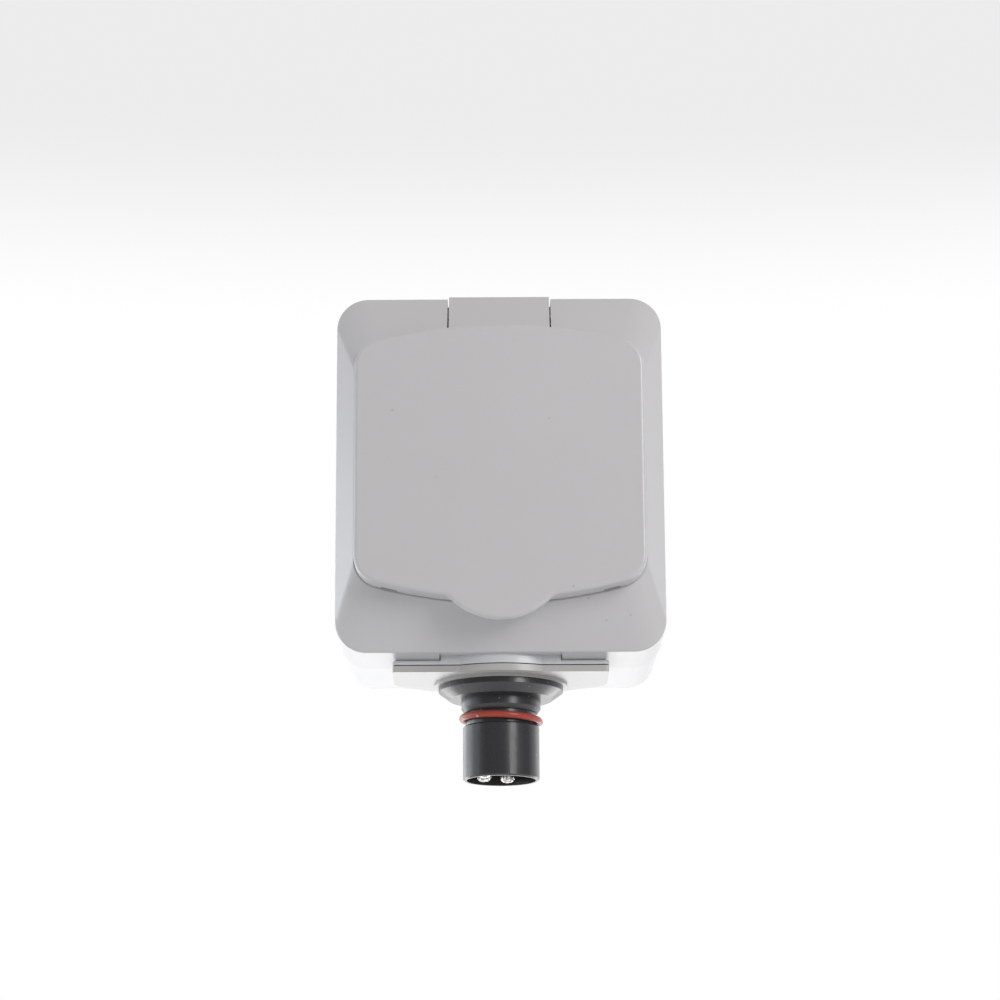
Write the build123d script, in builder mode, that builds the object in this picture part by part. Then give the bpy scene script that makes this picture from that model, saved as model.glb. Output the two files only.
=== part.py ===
from build123d import *
from math import atan2, cos, degrees, hypot, pi, radians, sin
import os

os.makedirs("parts", exist_ok=True)

# Surface-mounted earthed wall socket with a sprung lid and a round plug-in connector underneath.
# Millimetres. X is to the right, Y goes into the wall and Z is up. The origin is the centre of
# the wall face. A depth is measured from the wall towards the front, so it lies at Y = -depth.

# Clearances and small edges
running_clearance = 0.05
seat_clearance = 0.1
slide_clearance = 0.2
body_gap = 0.25

# Housing
cover_corner = 6.4
housing_wall = 2.4
base_depth = 24.0
base_inset = 0.3
back_thickness = 2.2
back_recess = 0.8
back_border = 4.0
back_spine = 12.0
skirt_depth = 17.0
front_rise = 6.0
rim_radius = 0.6
lip_thickness = 1.0
lip_height = 2.5
lip_root = 3.0

# Lid
lid_beside_gasket = 4.95
lid_above_gasket = 4.45
lid_below_gasket = 3.6
lid_side_margin = 4.15
lid_top_margin = 8.9
lid_bottom_margin = 8.75
lid_top_radius = 101.0
lid_bottom_radius = 94.0
lid_corner = 5.6
lid_depth = 5.2
lid_edge = 0.8
lid_wall = 1.8
platform_margin = 0.3
tab_reach = 4.1
tab_radius = 14.0
tab_thickness = 1.7
tab_blend = 3.0
drain_spacing = 44.0
drain_width = 3.2
drain_height = 1.3

# Hinge
hinge_depth = 39.5
hinge_below_top = 3.35
hinge_pin_radius = 1.25
hinge_pin_length = 28.0
hinge_pin_edge = 0.2
knuckle_width = 20.4
knuckle_gap = 0.28
knuckle_proud = 0.15
knuckle_above_top = 0.45
knuckle_arm = 2.4
knuckle_reach_back = 2.9
barrel_radius = 3.2
pocket_radius = 5.2
pocket_wall = 1.5
ear_length = 3.6
ear_radius = 2.9
spring_wire = 0.6
spring_mean_radius = 2.05
spring_turns = 7
spring_pitch = 0.72
spring_first_angle = -20.0
spring_cover_leg = 3.9
spring_lid_leg = 6.5
spring_room_radius = 2.7
spring_room_width = 8.4

# Plug well
well_radius = 21.5
well_wall = 1.8
well_depth = 17.5
well_floor = 2.0
well_proud = 2.0
well_flange = 0.8
pin_spacing = 19.0
pin_hole_radius = 3.05
rib_width = 5.0
rib_rise = 2.0
rib_setback = 3.0
earth_slot_width = 6.4
earth_slot_setback = 3.5
earth_slot_margin = 1.0

# Lid gasket
gasket_overlap = 0.6
gasket_rib = 0.8
gasket_rib_height = 0.7

# Contact block
block_width = 41.0
block_height = 35.0
block_depth = 15.4
block_skin = 1.5
block_corner = 3.0
back_plate_thickness = 1.4
sleeve_bore_radius = 2.45
sleeve_wall = 0.95
sleeve_length = 11.3
sleeve_slit_width = 0.6
sleeve_slit_length = 6.8
terminal_offset = 12.0
terminal_width = 6.0
terminal_from_edge = 1.5
terminal_height = 8.0
terminal_setback = 3.0
terminal_depth = 7.0
terminal_web = 2.0
terminal_bore_depth = 6.0
earth_terminal_left = -6.4
earth_terminal_right = 2.4
earth_wire_x = -4.4

# Earth bow
bow_thickness = 0.8
bow_width = 5.0
bow_outset = 0.1
bow_reach = 3.9
bow_tip_setback = 4.6
bow_bend = 1.2
bow_flare = 0.8
bow_flare_length = 3.5
bow_shoulder_length = 8.5

# Screws
screw_radius = 1.5
screw_head_radius = 2.8
screw_head_height = 1.8
screw_recess_reach = 1.2
screw_recess_width = 0.28
screw_head_rounding = 0.33
terminal_screw_radius = 1.35
terminal_head_radius = 2.3
terminal_head_height = 1.6
cover_screw_from_side = 9.7
cover_screw_from_top = 19.35
cover_screw_from_bottom = 18.15
cover_screw_grip = 15.0
block_screw_x = 17.0
block_screw_tip_room = 1.7
post_radius = 3.3
post_bore_floor = 1.5
wall_slot_spacing = 52.0
wall_slot_width = 4.3
wall_slot_length = 7.0

# Cable entry and connector; their axis is vertical and stands in the parting plane
neck_width = 20.0
neck_front = 12.8
flange_overlap = 2.0
neck_corner = 1.5
outer_flange_height = 0.85
inner_flange_thickness = 1.5
plate_width = 43.2
plate_front = 14.0
plate_bulge_radius = 16.2
plate_back_radius = 14.0
plate_end_radius = 5.0
plate_end_back = 1.0
plate_thickness = 1.0
plate_edge = 0.7
joint_gasket_thickness = 0.2
joint_gasket_inset = 0.25
flange_thickness = 1.3
ring_radius = 13.5
ring_height = 0.6
collar_radius = 12.65
collar_band = 1.1
collar_chamfer = 1.55
collar_flat_radius = 10.5
upper_barrel_radius = 8.05
upper_barrel_height = 2.8
groove_radius = 7.05
groove_height = 2.7
lower_barrel_radius = 7.75
lower_barrel_height = 10.95
barrel_edge = 0.3
mouth_radius = 7.0
mouth_depth = 9.2
insert_face_thickness = 1.0
insert_radius = 6.0
insert_length = 8.0
tail_radius = 7.5
tail_bore_radius = 6.1
tail_rise = 13.0
nut_across_flats = 19.0
nut_height = 3.6
nut_washer_thickness = 0.8
nut_washer_radius = 10.4
ring_section_radius = 0.7
ring_tilt = 2.7
contact_circle_radius = 4.3
contact_angles = {"live": 72.5, "earth": 144.5, "neutral": 216.5}
contact_pin_radius = 1.55
contact_pin_rounding = 0.75
contact_pin_recess = 0.2
crimp_radius = 1.6
crimp_height = 5.0
wire_radius = 1.4
wire_bend = 3.0

# Sizes and levels that follow from the sizes above
gasket_inner = well_radius - gasket_overlap
gasket_outer = well_radius + well_wall + gasket_overlap
lid_width = 2 * (gasket_outer + lid_beside_gasket)
lid_height = 2 * gasket_outer + lid_above_gasket + lid_below_gasket
cover_width = lid_width + 2 * lid_side_margin
cover_height = lid_height + lid_top_margin + lid_bottom_margin
cover_top = cover_height / 2
cover_bottom = -cover_height / 2
lid_top = cover_top - lid_top_margin
lid_bottom = cover_bottom + lid_bottom_margin
tab_tip = lid_bottom - tab_reach
well_height = lid_bottom + lid_below_gasket + gasket_outer
hinge_height = cover_top - hinge_below_top
knuckle_top = cover_top + knuckle_above_top
rim_depth = base_depth + skirt_depth
platform_depth = rim_depth + front_rise
lid_face_depth = platform_depth + lid_depth
lid_inner_depth = lid_face_depth - lid_wall
mouth_of_well = platform_depth + well_proud
floor_front = mouth_of_well - well_depth
floor_back = floor_front - well_floor
block_front = floor_back - seat_clearance
block_rear = block_front - block_depth
terminal_rear = block_rear + terminal_setback
terminal_front = terminal_rear + terminal_depth
cover_screw_x = cover_width / 2 - cover_screw_from_side
cover_inside_bottom = cover_bottom + housing_wall
base_inside_bottom = cover_inside_bottom + base_inset
entry_depth = base_depth
neck_top = base_inside_bottom + seat_clearance
outer_flange_width = neck_width + 2 * flange_overlap
inner_flange_top = neck_top + inner_flange_thickness
plate_top = cover_bottom - outer_flange_height
plate_bottom = plate_top - plate_thickness
flange_top = plate_bottom - joint_gasket_thickness
flange_bottom = flange_top - flange_thickness
collar_top = flange_bottom - ring_height
collar_bottom = collar_top - collar_band - collar_chamfer
groove_top = collar_bottom - upper_barrel_height
groove_bottom = groove_top - groove_height
mouth_height = groove_bottom - lower_barrel_height
insert_face = mouth_height + mouth_depth
insert_seat = insert_face + insert_face_thickness
insert_back = insert_face + insert_length
tail_top = collar_top + tail_rise
block_low = well_height - block_height / 2
terminal_low = block_low + terminal_from_edge
terminal_high = terminal_low + terminal_height
terminal_screw_height = terminal_low + terminal_height / 2
wire_depth = (terminal_rear + terminal_front) / 2
sleeve_rear = block_front - block_skin - seat_clearance - sleeve_length
sleeve_radius = sleeve_bore_radius + sleeve_wall
bow_radius = well_radius + bow_outset
bow_contact_radius = well_radius - bow_reach
cover_screw_seat = platform_depth - screw_head_height - slide_clearance
cover_screw_length = cover_screw_seat - base_depth + cover_screw_grip
block_screw_seat = block_front - screw_head_height - slide_clearance
block_screw_length = block_screw_seat - back_thickness - post_bore_floor - block_screw_tip_room
plug_pin_places = [(-pin_spacing / 2, well_height), (pin_spacing / 2, well_height)]
cover_screw_places = [(cover_screw_x, cover_top - cover_screw_from_top),
                      (-cover_screw_x, cover_bottom + cover_screw_from_bottom)]
block_screw_places = [(-block_screw_x, well_height), (block_screw_x, well_height)]
hinge_axis = Plane(origin=(0, -hinge_depth, hinge_height), x_dir=(0, 1, 0), z_dir=(1, 0, 0))

# Upper slope of the cover, and the turns of the lid spring that bring its leg parallel to it
slope_run = hypot(front_rise, cover_top - lid_top - platform_margin)
slope_out = Vector(0, -(cover_top - lid_top - platform_margin) / slope_run, front_rise / slope_run)
slope_down = Vector(0, -front_rise / slope_run, -(cover_top - lid_top - platform_margin) / slope_run)
slope_foot = Vector(0, -platform_depth, lid_top + platform_margin)
slope_head = Vector(0, -rim_depth, cover_top)
coil_end_angle = degrees(atan2(slope_out.Z, slope_out.Y))
coil_length = spring_pitch * (spring_turns + (coil_end_angle - spring_first_angle) / 360)
spring_lead = spring_pitch / (2 * pi * spring_mean_radius)


def front_plane(depth):
    """Plane parallel to the wall at a depth, with its normal towards the front."""
    return Plane.XZ.offset(depth)


def level(height):
    """Level plane at a height."""
    return Plane.XY.offset(height)


def screw_shape(plane, places, shank_radius, head_radius, head_height, length):
    """Pan-head screws with a cross recess, hanging from the plane of the underside of the head."""
    with BuildPart() as screw:
        with BuildSketch(plane):
            with Locations(*places):
                Circle(head_radius)
        extrude(amount=head_height)
        head_edges = screw.edges().filter_by(GeomType.CIRCLE).group_by(Axis.Y)[0]
        fillet(head_edges, screw_head_rounding * head_height)
        with BuildSketch(plane):
            with Locations(*places):
                Circle(shank_radius)
        extrude(amount=-length)
        with BuildSketch(plane.offset(head_height / 2)):
            with Locations(*places):
                Rectangle(screw_recess_reach * head_radius, screw_recess_width * head_radius)
                Rectangle(screw_recess_width * head_radius, screw_recess_reach * head_radius)
        extrude(amount=head_height, mode=Mode.SUBTRACT)
    return screw


def save(piece, name):
    """Labels a finished piece and writes it."""
    piece.part.label = name
    export_step(piece.part, f"parts/{name}.step")


# Outline of the lid: arched top and bottom edges between straight sides
with BuildSketch() as lid_outline:
    with Locations((0, (lid_top + lid_bottom) / 2)):
        Rectangle(lid_width, lid_top - lid_bottom)
    with Locations((0, lid_top - lid_top_radius)):
        Circle(lid_top_radius, mode=Mode.INTERSECT)
    with Locations((0, lid_bottom + lid_bottom_radius)):
        Circle(lid_bottom_radius, mode=Mode.INTERSECT)
    fillet(lid_outline.vertices(), lid_corner)

# Outline of the neck of the cable entry: round at the back, straight towards the front
with BuildSketch() as neck_outline:
    with Locations((0, -entry_depth)):
        Circle(neck_width / 2)
        Rectangle(neck_width, neck_front, align=(Align.CENTER, Align.MAX))
    fillet(neck_outline.vertices().group_by(Axis.Y)[0], neck_corner)

# Base box: back wall, side walls, lip, posts and wall slots
with BuildPart() as base_box:
    with BuildSketch(front_plane(0)):
        RectangleRounded(cover_width - 2 * base_inset, cover_height - 2 * base_inset,
                         cover_corner - base_inset)
    extrude(amount=base_depth)
    with BuildSketch(front_plane(back_thickness)):
        RectangleRounded(cover_width - 2 * (base_inset + housing_wall),
                         cover_height - 2 * (base_inset + housing_wall),
                         cover_corner - base_inset - housing_wall)
    extrude(amount=base_depth - back_thickness, mode=Mode.SUBTRACT)
    with BuildSketch(front_plane(base_depth - lip_root)):
        RectangleRounded(cover_width - 2 * (housing_wall + slide_clearance),
                         cover_height - 2 * (housing_wall + slide_clearance),
                         cover_corner - housing_wall - slide_clearance)
        RectangleRounded(cover_width - 2 * (housing_wall + slide_clearance + lip_thickness),
                         cover_height - 2 * (housing_wall + slide_clearance + lip_thickness),
                         cover_corner - housing_wall - slide_clearance - lip_thickness,
                         mode=Mode.SUBTRACT)
    extrude(amount=lip_root + lip_height)
    with BuildSketch(front_plane(0)):
        RectangleRounded(cover_width - 2 * (base_inset + back_border),
                         cover_height - 2 * (base_inset + back_border), cover_corner - back_border)
        Rectangle(back_spine, cover_height, mode=Mode.SUBTRACT)
    extrude(amount=back_recess, mode=Mode.SUBTRACT)
    with BuildSketch(front_plane(back_thickness)):
        with Locations(*cover_screw_places):
            Circle(post_radius)
    extrude(amount=base_depth - back_thickness)
    with BuildSketch(front_plane(back_thickness)):
        with Locations(*block_screw_places):
            Circle(post_radius)
    extrude(amount=block_rear - back_plate_thickness - back_thickness)
    with BuildSketch(front_plane(base_depth)):
        with Locations(*cover_screw_places):
            Circle(screw_radius + seat_clearance / 2)
    extrude(amount=back_thickness + post_bore_floor - base_depth, mode=Mode.SUBTRACT)
    with BuildSketch(front_plane(base_depth)):
        with Locations(*block_screw_places):
            Circle(screw_radius + seat_clearance / 2)
    extrude(amount=back_thickness + post_bore_floor - base_depth, mode=Mode.SUBTRACT)
    with BuildSketch(front_plane(0)):
        with GridLocations(0, wall_slot_spacing, 1, 2):
            SlotOverall(wall_slot_length, wall_slot_width, rotation=90)
    extrude(amount=back_thickness, mode=Mode.SUBTRACT)
    with BuildSketch(level(cover_bottom)):
        add(neck_outline.sketch)
        offset(amount=slide_clearance)
    extrude(amount=housing_wall + base_inset, mode=Mode.SUBTRACT)
    with BuildSketch(level(base_inside_bottom)):
        add(neck_outline.sketch)
        offset(amount=flange_overlap + 2 * slide_clearance)
    extrude(amount=lip_thickness + housing_wall, mode=Mode.SUBTRACT)
save(base_box, "base_box")

# Side view of the knuckle on the lid, in the plane across the hinge
arm_foot = slope_foot + slope_out * knuckle_proud
arm_head = slope_head + slope_out * knuckle_proud
arm_under = slope_out * -(knuckle_arm + knuckle_proud)
knuckle_points = [
    (-platform_depth - 2 * body_gap, lid_top - lid_wall),
    (-platform_depth - 2 * body_gap, lid_top),
    (arm_foot.Y, arm_foot.Z),
    (arm_head.Y, arm_head.Z),
    (arm_head.Y + knuckle_top - arm_head.Z, knuckle_top),
    (-hinge_depth + knuckle_reach_back, knuckle_top),
    (-hinge_depth + knuckle_reach_back, hinge_height),
    (-hinge_depth, hinge_height),
    ((arm_foot + arm_under).Y, lid_top - lid_wall),
]

# Hollow of the front cover, with the hinge trough left standing in it
with BuildPart() as cover_hollow:
    with BuildSketch(front_plane(base_depth)):
        RectangleRounded(cover_width - 2 * housing_wall, cover_height - 2 * housing_wall,
                         cover_corner - housing_wall)
    extrude(amount=skirt_depth - housing_wall / 2)
    with BuildSketch(front_plane(rim_depth - housing_wall / 2)):
        RectangleRounded(cover_width - 2 * housing_wall, cover_height - 2 * housing_wall,
                         cover_corner - housing_wall)
    with BuildSketch(front_plane(platform_depth - housing_wall)):
        add(lid_outline.sketch)
        offset(amount=platform_margin - housing_wall)
    loft()
    with BuildSketch(Plane.YZ):
        with BuildLine():
            Polyline(*knuckle_points, close=True)
        make_face()
        with Locations((-hinge_depth, hinge_height)):
            Circle(pocket_radius)
        offset(amount=pocket_wall)
    extrude(amount=knuckle_width / 2 + knuckle_gap + pocket_wall, both=True, mode=Mode.SUBTRACT)

# Front cover: skirt, sloping front, platform with a round hole for the plug well, and two wedges
# underneath on which the plate of the cable entry rests
with BuildPart() as front_cover:
    with BuildSketch(front_plane(base_depth)):
        RectangleRounded(cover_width, cover_height, cover_corner)
    extrude(amount=skirt_depth)
    with BuildSketch(front_plane(rim_depth)):
        RectangleRounded(cover_width, cover_height, cover_corner)
    with BuildSketch(front_plane(platform_depth)):
        add(lid_outline.sketch)
        offset(amount=platform_margin)
    loft()
    fillet(front_cover.edges().filter_by_position(Axis.Y, -rim_depth, -rim_depth), rim_radius)
    add(cover_hollow.part, mode=Mode.SUBTRACT)
    with BuildSketch(front_plane(base_depth)):
        with Locations(*cover_screw_places):
            Circle(post_radius)
    extrude(amount=platform_depth - base_depth - seat_clearance)
    with BuildSketch(front_plane(platform_depth)):
        with Locations((0, well_height)):
            Circle(well_radius + well_wall + seat_clearance)
    extrude(amount=-housing_wall, mode=Mode.SUBTRACT)
    with BuildSketch(front_plane(platform_depth)):
        with Locations(*cover_screw_places):
            Circle(screw_head_radius + slide_clearance)
    extrude(amount=-screw_head_height - slide_clearance, mode=Mode.SUBTRACT)
    with BuildSketch(front_plane(base_depth)):
        with Locations(*cover_screw_places):
            Circle(screw_radius + slide_clearance)
    extrude(amount=platform_depth - base_depth, mode=Mode.SUBTRACT)
    with BuildSketch(Plane.YZ):
        with Locations((-hinge_depth, hinge_height)):
            Circle(ear_radius)
    extrude(amount=knuckle_width / 2 + knuckle_gap + ear_length, both=True)
    with BuildSketch(Plane.YZ):
        with BuildLine():
            Polyline(*knuckle_points, close=True)
        make_face()
        offset(amount=knuckle_gap)
        with Locations((-hinge_depth, hinge_height)):
            Circle(pocket_radius)
    extrude(amount=knuckle_width / 2 + knuckle_gap, both=True, mode=Mode.SUBTRACT)
    with BuildSketch(Plane.YZ):
        with Locations((-hinge_depth, hinge_height)):
            Circle(hinge_pin_radius + running_clearance / 2)
    extrude(amount=knuckle_width / 2 + knuckle_gap + ear_length, both=True, mode=Mode.SUBTRACT)
    with BuildSketch(level(cover_bottom)):
        add(neck_outline.sketch)
        offset(amount=slide_clearance)
    extrude(amount=housing_wall, mode=Mode.SUBTRACT)
    with BuildSketch(Plane.YZ):
        with BuildLine():
            Polyline(
                (-entry_depth, cover_bottom),
                (-entry_depth, plate_top),
                (plate_edge - plate_front - entry_depth, plate_top),
                (rim_radius - rim_depth, cover_bottom),
                close=True,
            )
        make_face()
    extrude(amount=plate_width / 2 - plate_edge, both=True)
    with BuildSketch(level(plate_top)):
        Rectangle(outer_flange_width + 2 * slide_clearance, 3 * rim_depth)
    extrude(amount=outer_flange_height, mode=Mode.SUBTRACT)
save(front_cover, "front_cover")

# Plug well: round cup with ribs, floor and holes, pushed through the platform from behind
with BuildPart() as plug_well:
    with BuildSketch(front_plane(floor_back)):
        with Locations((0, well_height)):
            Circle(well_radius + well_wall)
    extrude(amount=mouth_of_well - floor_back)
    with BuildSketch(front_plane(platform_depth - housing_wall)):
        with Locations((0, well_height)):
            Circle(well_radius + well_wall + well_flange)
    extrude(amount=-well_flange)
    with BuildSketch(front_plane(floor_front)):
        with Locations((0, well_height)):
            Circle(well_radius)
            with GridLocations(2 * well_radius, 0, 2, 1):
                Rectangle(2 * rib_rise, rib_width, mode=Mode.SUBTRACT)
    extrude(amount=well_depth - rib_setback, mode=Mode.SUBTRACT)
    with BuildSketch(front_plane(mouth_of_well - rib_setback)):
        with Locations((0, well_height)):
            Circle(well_radius)
    extrude(amount=rib_setback, mode=Mode.SUBTRACT)
    with BuildSketch(front_plane(floor_back)):
        with Locations(*plug_pin_places):
            Circle(pin_hole_radius)
    extrude(amount=well_floor, mode=Mode.SUBTRACT)
    with BuildSketch(front_plane(floor_back)):
        with Locations((0, well_height)):
            with GridLocations(0, 2 * bow_radius, 1, 2):
                Rectangle(earth_slot_width, 2 * (bow_radius - bow_contact_radius + earth_slot_margin))
    extrude(amount=mouth_of_well - earth_slot_setback - floor_back, mode=Mode.SUBTRACT)
save(plug_well, "plug_well")

# Hinged lid: shallow shell with a finger tab, drain notches, gasket ribs and the hinge knuckle
with BuildPart() as hinged_lid:
    with BuildSketch(front_plane(platform_depth + body_gap)):
        add(lid_outline.sketch)
    extrude(amount=lid_depth - body_gap)
    with BuildSketch(front_plane(lid_face_depth)):
        with Locations((0, tab_tip + tab_radius)):
            Circle(tab_radius)
    extrude(amount=-tab_thickness)
    tab_corners = hinged_lid.edges().filter_by(Axis.Y).filter_by_position(
        Axis.X, -tab_radius, tab_radius).group_by(Axis.Z)[0]
    fillet(tab_corners, tab_blend)
    fillet(hinged_lid.faces().sort_by(Axis.Y)[0].edges(), lid_edge)
    with BuildSketch(front_plane(platform_depth)):
        add(lid_outline.sketch)
        offset(amount=-lid_wall)
    extrude(amount=lid_depth - lid_wall, mode=Mode.SUBTRACT)
    with BuildSketch(front_plane(lid_inner_depth)):
        with Locations((0, well_height)):
            Circle(gasket_outer + seat_clearance + gasket_rib)
            Circle(gasket_outer + seat_clearance, mode=Mode.SUBTRACT)
            Circle(gasket_inner - seat_clearance)
            Circle(gasket_inner - seat_clearance - gasket_rib, mode=Mode.SUBTRACT)
    extrude(amount=-gasket_rib_height)
    with BuildSketch(front_plane(platform_depth)):
        with Locations((0, lid_bottom + lid_corner)):
            with GridLocations(drain_spacing, 0, 2, 1):
                Rectangle(drain_width, 2 * lid_corner)
    extrude(amount=body_gap + drain_height, mode=Mode.SUBTRACT)
    with BuildSketch(Plane.YZ):
        with BuildLine():
            Polyline(*knuckle_points, close=True)
        make_face()
        with Locations((-hinge_depth, hinge_height)):
            Circle(barrel_radius)
    extrude(amount=knuckle_width / 2, both=True)
    with BuildSketch(Plane.YZ):
        with Locations((-hinge_depth, hinge_height)):
            Circle(hinge_pin_radius + running_clearance)
    extrude(amount=knuckle_width / 2, both=True, mode=Mode.SUBTRACT)
    with BuildSketch(Plane.YZ):
        with Locations((-hinge_depth, hinge_height)):
            Circle(spring_room_radius)
            Rectangle(pocket_radius, spring_room_radius, align=(Align.MIN, Align.MIN))
            Rectangle(pocket_radius, pocket_radius, align=(Align.MIN, Align.MAX))
    extrude(amount=spring_room_width / 2, both=True, mode=Mode.SUBTRACT)
    with BuildSketch(Plane(
            origin=((coil_length + spring_lead * spring_lid_leg) / 2, -hinge_depth, hinge_height),
            x_dir=slope_down, z_dir=(1, 0, 0))):
        Rectangle(spring_lid_leg + spring_wire, spring_mean_radius + spring_wire,
                  align=(Align.MIN, Align.MAX))
    extrude(amount=spring_wire + seat_clearance, both=True, mode=Mode.SUBTRACT)
save(hinged_lid, "hinged_lid")

# Foam ring in the lid that closes on the rim of the plug well
with BuildPart() as lid_gasket:
    with BuildSketch(front_plane(mouth_of_well + body_gap)):
        with Locations((0, well_height)):
            Circle(gasket_outer)
            Circle(gasket_inner, mode=Mode.SUBTRACT)
    extrude(amount=lid_inner_depth - mouth_of_well - body_gap)
save(lid_gasket, "lid_gasket")

# Steel pin through the ears of the cover and the knuckle of the lid
with BuildPart() as hinge_pin:
    with BuildSketch(hinge_axis):
        Circle(hinge_pin_radius)
    extrude(amount=hinge_pin_length / 2, both=True)
    chamfer(hinge_pin.edges(), hinge_pin_edge)
save(hinge_pin, "hinge_pin")

# Torsion spring: a coil round the pin, one leg on the cover and one in the groove of the lid's arm
coil = Helix(spring_pitch, coil_length, spring_mean_radius,
             center=(-coil_length / 2, -hinge_depth, hinge_height), direction=(1, 0, 0))
coil = coil.rotate(Axis((0, -hinge_depth, hinge_height), (1, 0, 0)), spring_first_angle - 90)
with BuildPart() as lid_spring:
    with BuildSketch(Plane(origin=coil @ 0, z_dir=coil % 0)):
        Circle(spring_wire / 2)
    sweep(path=coil, is_frenet=True)
    with BuildSketch(Plane(origin=coil @ 0, z_dir=(coil % 0) * -1)):
        Circle(spring_wire / 2)
    extrude(amount=spring_cover_leg)
    with BuildSketch(Plane(origin=coil @ 1, z_dir=coil % 1)):
        Circle(spring_wire / 2)
    extrude(amount=spring_lid_leg)
save(lid_spring, "lid_spring")

# Contact block: insulating body with pockets for the contacts, open at the back
with BuildPart() as contact_block:
    with BuildSketch(front_plane(block_rear)):
        with Locations((0, well_height)):
            RectangleRounded(block_width, block_height, block_corner)
    extrude(amount=block_front - block_rear)
    with BuildSketch(front_plane(block_rear)):
        with Locations(*plug_pin_places):
            Circle(sleeve_radius + seat_clearance)
    extrude(amount=block_front - block_rear - block_skin, mode=Mode.SUBTRACT)
    with BuildSketch(front_plane(block_rear)):
        with Locations(*plug_pin_places):
            Circle(pin_hole_radius)
        with Locations(*block_screw_places):
            Circle(screw_radius + seat_clearance)
    extrude(amount=block_front - block_rear, mode=Mode.SUBTRACT)
    with BuildSketch(front_plane(block_front)):
        with Locations(*block_screw_places):
            Circle(screw_head_radius + slide_clearance)
    extrude(amount=-screw_head_height - slide_clearance, mode=Mode.SUBTRACT)
    with BuildSketch(front_plane(block_rear)):
        with Locations((0, (terminal_low + terminal_high) / 2)):
            with GridLocations(2 * terminal_offset, 0, 2, 1):
                Rectangle(terminal_width + 2 * seat_clearance,
                          terminal_high - terminal_low + 2 * seat_clearance)
        with Locations(((earth_terminal_left + earth_terminal_right) / 2,
                        (terminal_low + terminal_high) / 2)):
            Rectangle(earth_terminal_right - earth_terminal_left + 2 * seat_clearance,
                      terminal_high - terminal_low + 2 * seat_clearance)
    extrude(amount=terminal_front - block_rear + seat_clearance, mode=Mode.SUBTRACT)
    with BuildSketch(front_plane(block_rear)):
        for side in (-1, 1):
            with Locations((side * (terminal_offset - terminal_width / 4), terminal_high)):
                Rectangle(terminal_width / 2 + 2 * seat_clearance, well_height - terminal_high,
                          align=(Align.CENTER, Align.MIN))
    extrude(amount=terminal_rear - block_rear + terminal_web + seat_clearance, mode=Mode.SUBTRACT)
    with BuildSketch(front_plane(block_rear)):
        with Locations((0, well_height)):
            Rectangle(bow_width + 2 * seat_clearance, block_height)
    extrude(amount=bow_thickness, mode=Mode.SUBTRACT)
    with BuildSketch(front_plane(block_front)):
        with Locations((-terminal_offset, terminal_screw_height), (earth_wire_x, terminal_screw_height),
                       (terminal_offset, terminal_screw_height)):
            Circle(terminal_head_radius + slide_clearance)
    extrude(amount=terminal_front - block_front, mode=Mode.SUBTRACT)
    with BuildSketch(level(block_low)):
        with Locations((-terminal_offset, -wire_depth), (earth_wire_x, -wire_depth),
                       (terminal_offset, -wire_depth)):
            Circle(wire_radius + seat_clearance)
    extrude(amount=terminal_low - block_low, mode=Mode.SUBTRACT)
save(contact_block, "contact_block")

# Insulating plate that closes the pockets of the block
with BuildPart() as block_back_plate:
    with BuildSketch(front_plane(block_rear - back_plate_thickness)):
        with Locations((0, well_height)):
            RectangleRounded(block_width, block_height, block_corner)
        with Locations(*block_screw_places):
            Circle(screw_radius + seat_clearance, mode=Mode.SUBTRACT)
    extrude(amount=back_plate_thickness)
save(block_back_plate, "block_back_plate")

# Live and neutral contacts: slit sleeve, web and terminal body in one piece
for side, name in ((1, "live"), (-1, "neutral")):
    with BuildPart() as contact:
        with BuildSketch(front_plane(sleeve_rear)):
            with Locations((side * pin_spacing / 2, well_height)):
                Circle(sleeve_radius)
        extrude(amount=sleeve_length)
        with BuildSketch(front_plane(terminal_rear)):
            with Locations((side * terminal_offset, terminal_low)):
                Rectangle(terminal_width, terminal_high - terminal_low,
                          align=(Align.CENTER, Align.MIN))
        extrude(amount=terminal_front - terminal_rear)
        with BuildSketch(front_plane(terminal_rear)):
            with Locations((side * (terminal_offset - terminal_width / 4), terminal_high)):
                Rectangle(terminal_width / 2, well_height - terminal_high,
                          align=(Align.CENTER, Align.MIN))
        extrude(amount=terminal_web)
        with BuildSketch(front_plane(sleeve_rear)):
            with Locations((side * pin_spacing / 2, well_height)):
                Circle(sleeve_bore_radius)
        extrude(amount=sleeve_length, mode=Mode.SUBTRACT)
        with BuildSketch(front_plane(sleeve_rear + sleeve_length)):
            with Locations((side * pin_spacing / 2, well_height)):
                Rectangle(sleeve_slit_width, 3 * sleeve_radius)
        extrude(amount=-sleeve_slit_length, mode=Mode.SUBTRACT)
        with BuildSketch(level(terminal_low)):
            with Locations((side * terminal_offset, -wire_depth)):
                Circle(wire_radius + seat_clearance / 2)
        extrude(amount=terminal_bore_depth, mode=Mode.SUBTRACT)
        with BuildSketch(front_plane(terminal_front)):
            with Locations((side * terminal_offset, terminal_screw_height)):
                Circle(terminal_screw_radius + running_clearance / 2)
        extrude(amount=wire_depth - terminal_front, mode=Mode.SUBTRACT)
    save(contact, f"{name}_contact")

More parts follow.
